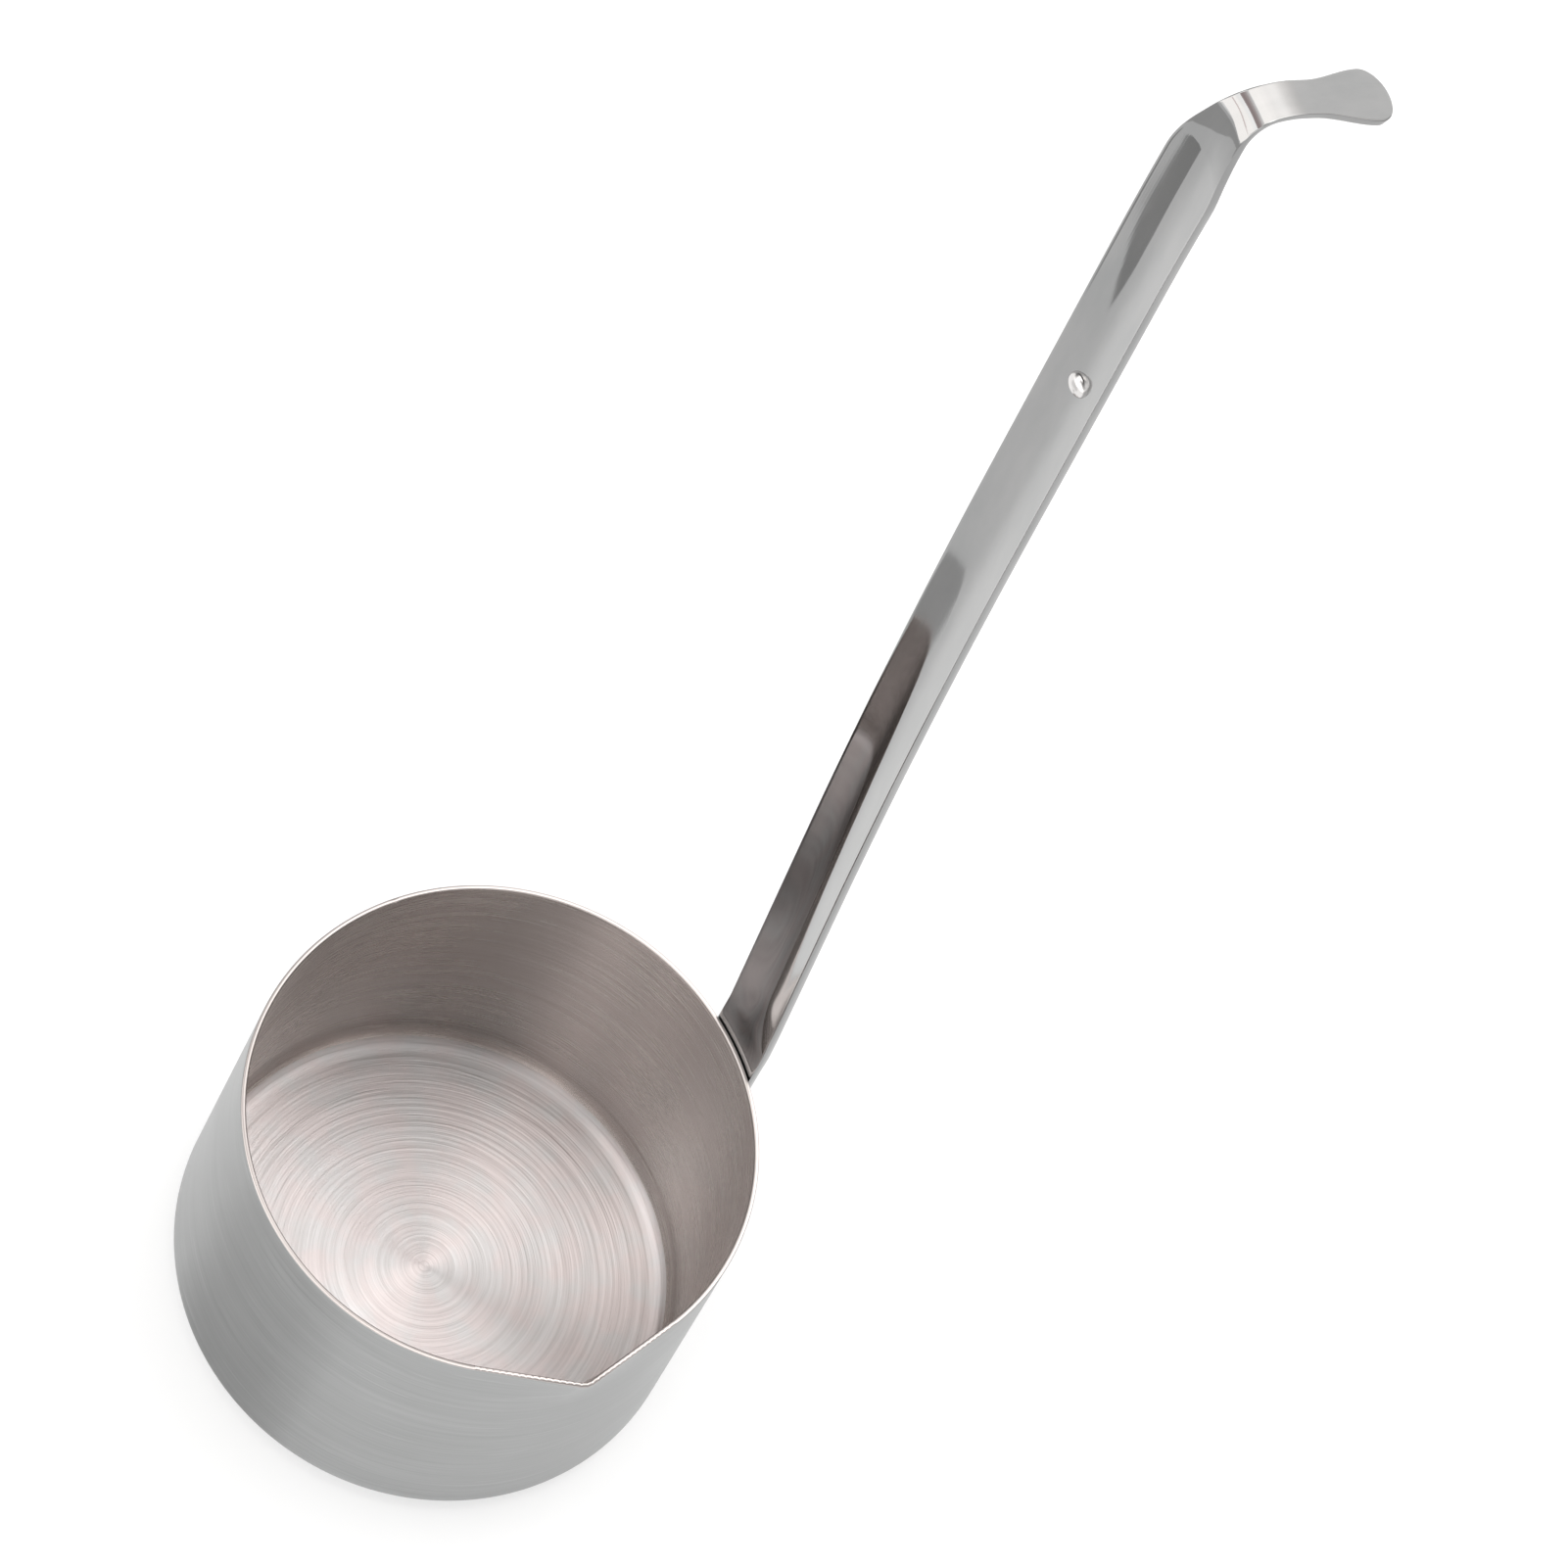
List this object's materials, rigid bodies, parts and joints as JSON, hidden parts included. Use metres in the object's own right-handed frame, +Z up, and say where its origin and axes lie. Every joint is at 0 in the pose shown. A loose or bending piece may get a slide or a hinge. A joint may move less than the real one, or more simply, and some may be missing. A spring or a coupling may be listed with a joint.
{
  "type": "wine ladle",
  "caption": "Stainless-steel wine ladle: straight-walled cup with a side pouring lip, on a tall, slightly hollow strip handle with a small stop stud and a hook at the top.",
  "frame": {"origin": "middle of the cup's flat underside", "axes": "+Z up the cup's axis, +X from the cup's axis towards the handle"},
  "size_m": [0.0969, 0.0828, 0.3733],
  "materials": {
    "satin_steel": "satin turned stainless steel",
    "polished_steel": "polished stainless steel",
    "polished_steel_stud": "polished stainless steel"
  },
  "bodies": {
    "root": {"cup": "satin_steel", "handle": "polished_steel", "stop_stud": "polished_steel_stud"}
  },
  "joints": []
}
